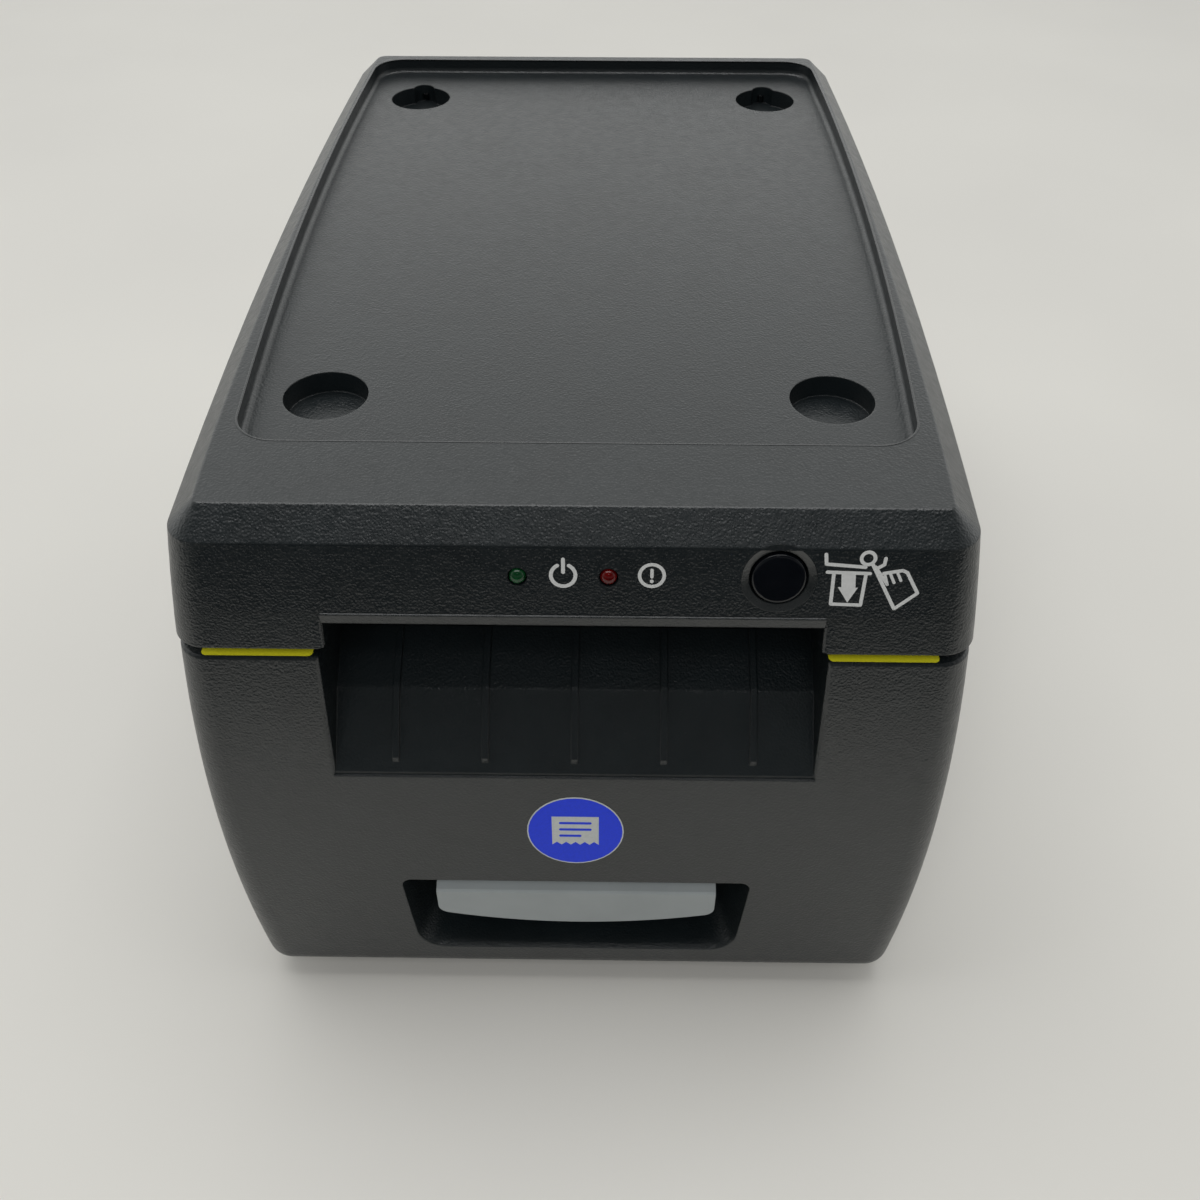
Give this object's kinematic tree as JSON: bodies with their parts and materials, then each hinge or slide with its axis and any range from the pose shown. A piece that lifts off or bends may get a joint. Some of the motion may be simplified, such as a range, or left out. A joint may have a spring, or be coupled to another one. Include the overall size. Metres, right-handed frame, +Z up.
{
  "type": "receipt printer with a scanner tray",
  "caption": "Front-loading receipt printer with a shallow scanner tray on top, a ribbed paper exit, a forward-sliding paper drawer with a release lever, and a control panel.",
  "frame": {"origin": "centre of the body's footprint, on the ground under the rubber feet", "axes": "+Z up; the front with the paper exit faces -Y; +X is right as seen from the front"},
  "size_m": [0.15, 0.235, 0.121],
  "materials": {
    "shell_black": "fine pebble grain",
    "lever_grey": "smooth satin",
    "bucket_grey": "smooth satin",
    "gear_white": "moulded acetal",
    "steel": "zinc-plated sheet",
    "screw_steel": "bright screws",
    "aluminium": "plain",
    "ceramic": "glazed strip",
    "rubber_black": "ground rubber",
    "board_green": "solder mask",
    "part_black": "moulded parts",
    "led_green": "clear lens",
    "led_red": "clear lens",
    "button_grey": "smooth",
    "cable_grey": "flat cable"
  },
  "bodies": {
    "base": {"top_cover": "shell_black", "base_housing": "shell_black", "rubber_feet": "rubber_black", "chassis_plate_left": "steel", "chassis_plate_right": "steel", "slide_rail_left": "steel", "slide_rail_right": "steel", "print_frame": "steel", "cover_screws": "screw_steel", "chassis_screws": "screw_steel", "frame_screws": "screw_steel", "tray_screw": "screw_steel", "head_pivot_pin": "screw_steel", "head_springs": "screw_steel", "paper_sensor": "part_black", "cutter_frame": "steel", "cutter_motor": "steel", "idler_stud": "screw_steel", "feed_motor": "steel", "control_board": "board_green", "control_board_screws": "screw_steel", "power_led": "led_green", "error_led": "led_red", "feed_switch": "part_black", "panel_ribbon": "cable_grey", "main_board": "board_green", "main_board_parts": "part_black", "board_screws": "screw_steel", "usb_socket": "steel", "dc_socket": "part_black", "power_switch": "part_black"},
    "drawer": {"drawer_front": "shell_black", "paper_bucket": "bucket_grey", "drawer_runner_left": "bucket_grey", "drawer_runner_right": "bucket_grey", "bucket_screws": "screw_steel", "fixed_blade": "steel", "platen_bush_left": "gear_white", "platen_bush_right": "gear_white"},
    "platen": {"platen_shaft": "screw_steel", "platen_rubber": "rubber_black", "platen_gear": "gear_white"},
    "idler": {"idler_gear": "gear_white"},
    "motor_rotor": {"motor_pinion": "gear_white", "motor_shaft": "screw_steel"},
    "lever": {"release_lever": "lever_grey", "latch_shaft": "screw_steel", "latch_hook_left": "steel", "latch_hook_right": "steel"},
    "head": {"head_carrier": "aluminium", "thermal_head": "ceramic"},
    "blade": {"moving_blade": "steel"},
    "cutter_gear": {"cutter_pinion": "gear_white"},
    "button": {"feed_button": "button_grey", "switch_plunger": "part_black"},
    "rocker": {"power_rocker": "part_black"}
  },
  "joints": [
    {"name": "drawer_slide", "type": "slide", "parent": "base", "child": "drawer", "axis": [0, -1, 0], "range_m": [0, 0.112]},
    {"name": "lever_pull", "type": "hinge", "parent": "drawer", "child": "lever", "pos_m": [0, -0.108, 0.0416], "axis": [-1, 0, 0], "range_deg": [0, 15], "stiffness_Nm_per_rad": 0.04, "springref_deg": -11.46},
    {"name": "platen_spin", "type": "hinge", "parent": "drawer", "child": "platen", "pos_m": [0, -0.076, 0.085], "axis": [1, 0, 0], "continuous": true},
    {"name": "idler_spin", "type": "hinge", "parent": "base", "child": "idler", "pos_m": [0, -0.05847, 0.07862], "axis": [1, 0, 0], "continuous": true},
    {"name": "motor_spin", "type": "hinge", "parent": "base", "child": "motor_rotor", "pos_m": [0, -0.04495, 0.07202], "axis": [1, 0, 0], "continuous": true},
    {"name": "head_lift", "type": "hinge", "parent": "base", "child": "head", "pos_m": [0, -0.054, 0.0984], "axis": [-1, 0, 0], "range_deg": [0, 3], "stiffness_Nm_per_rad": 0.6, "springref_deg": -8.59, "deforming": ["head_springs"]},
    {"name": "blade_slide", "type": "slide", "parent": "base", "child": "blade", "axis": [0, 0, -1], "range_m": [0, 0.004]},
    {"name": "cutter_spin", "type": "hinge", "parent": "base", "child": "cutter_gear", "pos_m": [-0.035, -0.0886, 0.1032], "axis": [0, 1, 0], "range_deg": [0, 77]},
    {"name": "button_press", "type": "slide", "parent": "base", "child": "button", "axis": [0, 0.9688, -0.248], "range_m": [0, 0.0008], "stiffness_N_per_m": 400, "springref_m": -0.0012},
    {"name": "rocker_tilt", "type": "hinge", "parent": "base", "child": "rocker", "pos_m": [0.03, 0.11, 0.032], "axis": [1, 0, 0], "range_deg": [0, 16]}
  ],
  "couplings": [
    {"joint": "idler_spin", "follows": "platen_spin", "ratio": -0.72222},
    {"joint": "motor_spin", "follows": "platen_spin", "ratio": 1.8571},
    {"joint": "cutter_spin", "follows": "blade_slide", "rad_per_m": 333.33}
  ]
}
